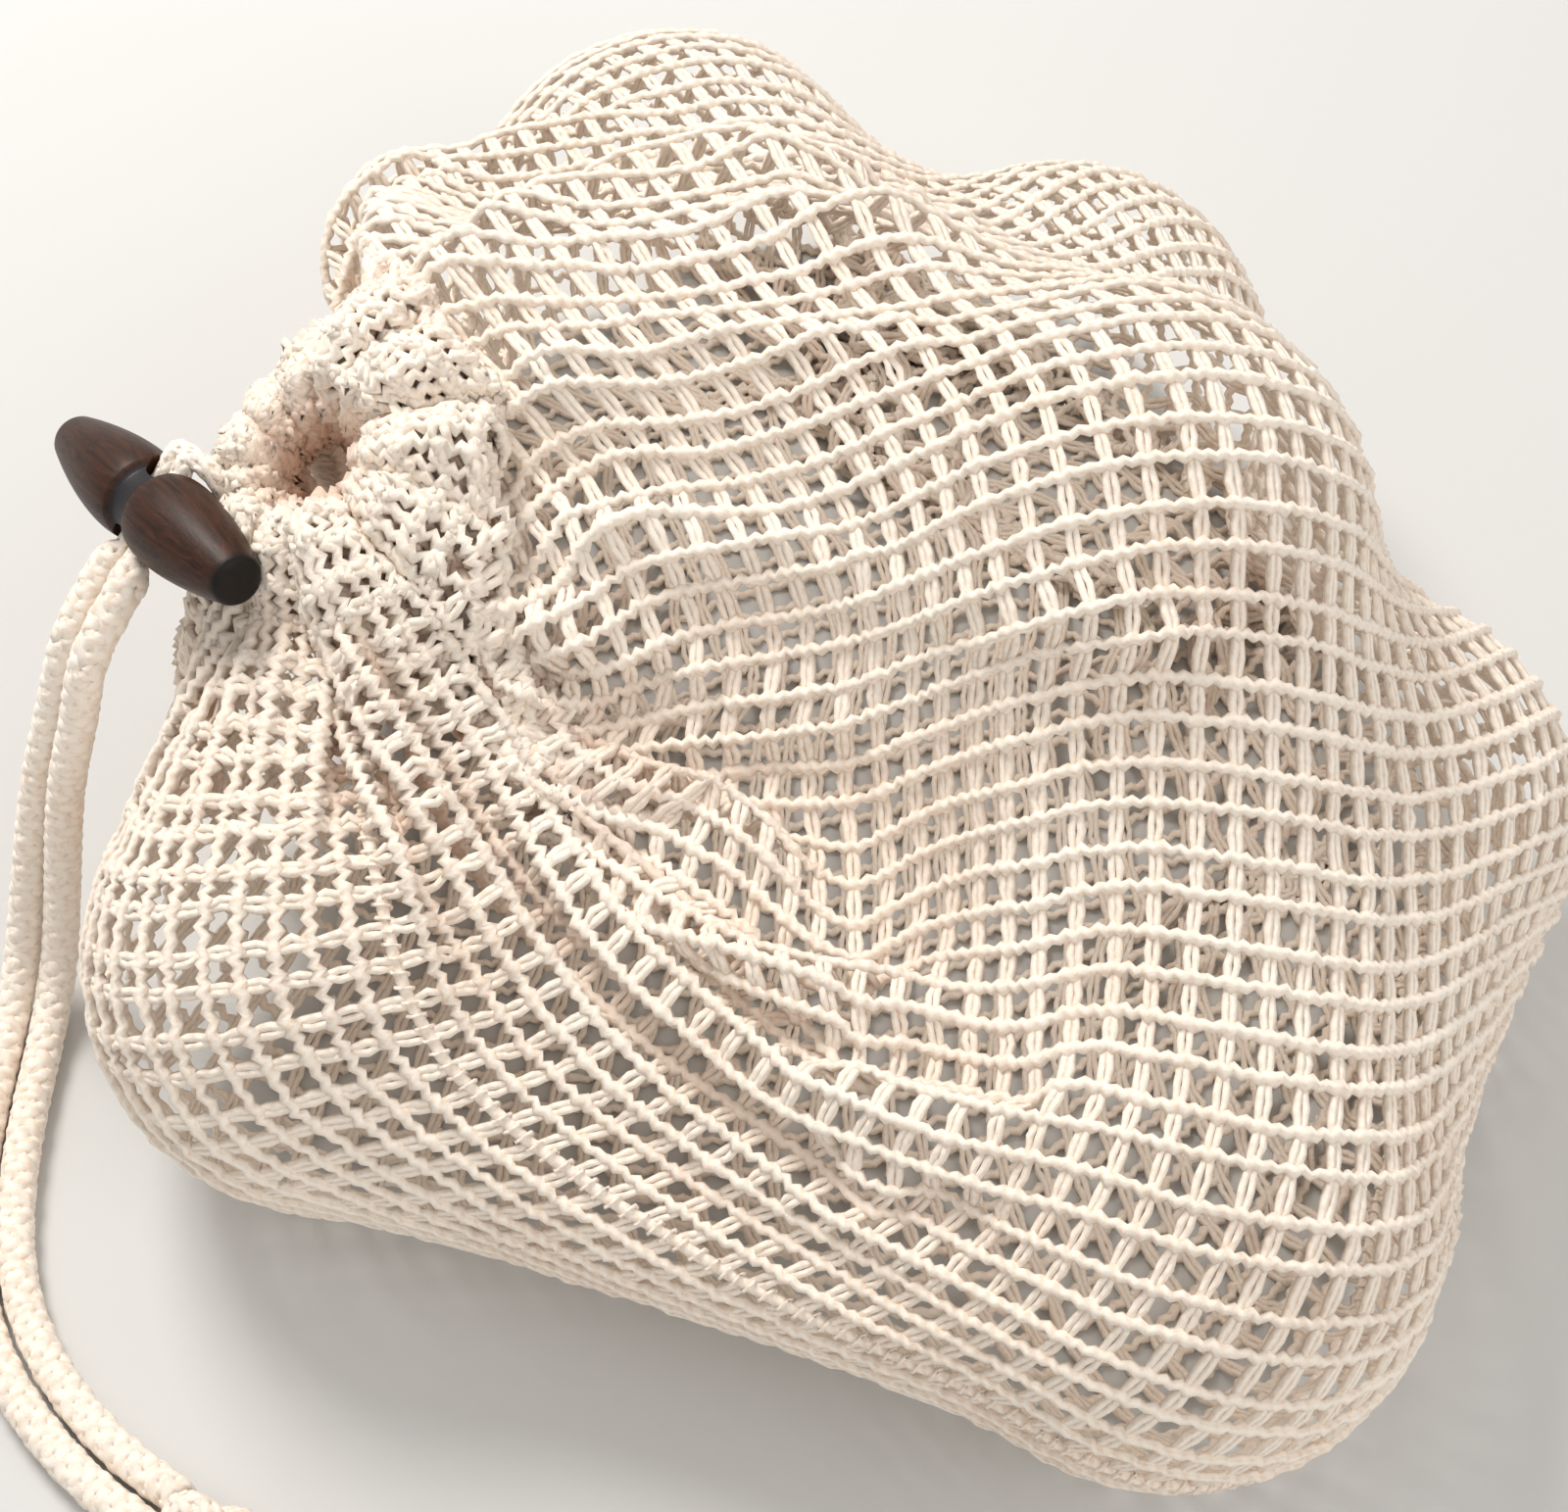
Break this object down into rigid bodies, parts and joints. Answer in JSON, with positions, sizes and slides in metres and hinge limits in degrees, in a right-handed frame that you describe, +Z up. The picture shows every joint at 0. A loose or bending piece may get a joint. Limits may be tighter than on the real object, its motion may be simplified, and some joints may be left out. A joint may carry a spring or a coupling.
{
  "type": "mesh produce bag",
  "caption": "Cotton net drawstring bag, filled and resting on its side, with its mouth gathered by a braided cord and a turned wooden toggle.",
  "frame": {"origin": "middle of the filled bag's footprint, on the surface it rests on", "axes": "+Z up from the surface; +Y along the bag's longest side, away from the viewer; the mouth faces -X and up"},
  "size_m": [0.2685, 0.2977, 0.1265],
  "materials": {
    "cotton_net": "unbleached cotton net, matt, chain-knit columns with laid-in pairs of strands",
    "seam_yarn": "unbleached cotton overlock yarn, matt",
    "cord": "round braided cotton cord, soft and matt",
    "dark_wood": "dark brown stained hardwood with a satin lacquer"
  },
  "bodies": {
    "bag": {"front_net_panel": "cotton_net", "back_net_panel": "cotton_net", "bottom_seam": "seam_yarn", "side_seam_far": "seam_yarn", "side_seam_near": "seam_yarn", "casing_front": "cotton_net", "casing_back": "cotton_net", "hem_stitching": "seam_yarn", "drawcord": "cord", "drawcord_tail_a": "cord", "drawcord_tail_b": "cord", "drawcord_knot": "cord"},
    "toggle": {"toggle": "dark_wood"}
  },
  "joints": [
    {"name": "toggle_slide", "type": "slide", "parent": "bag", "child": "toggle", "axis": [-0.5049, -0.6255, -0.5948], "range_m": [0, 0.018]}
  ]
}
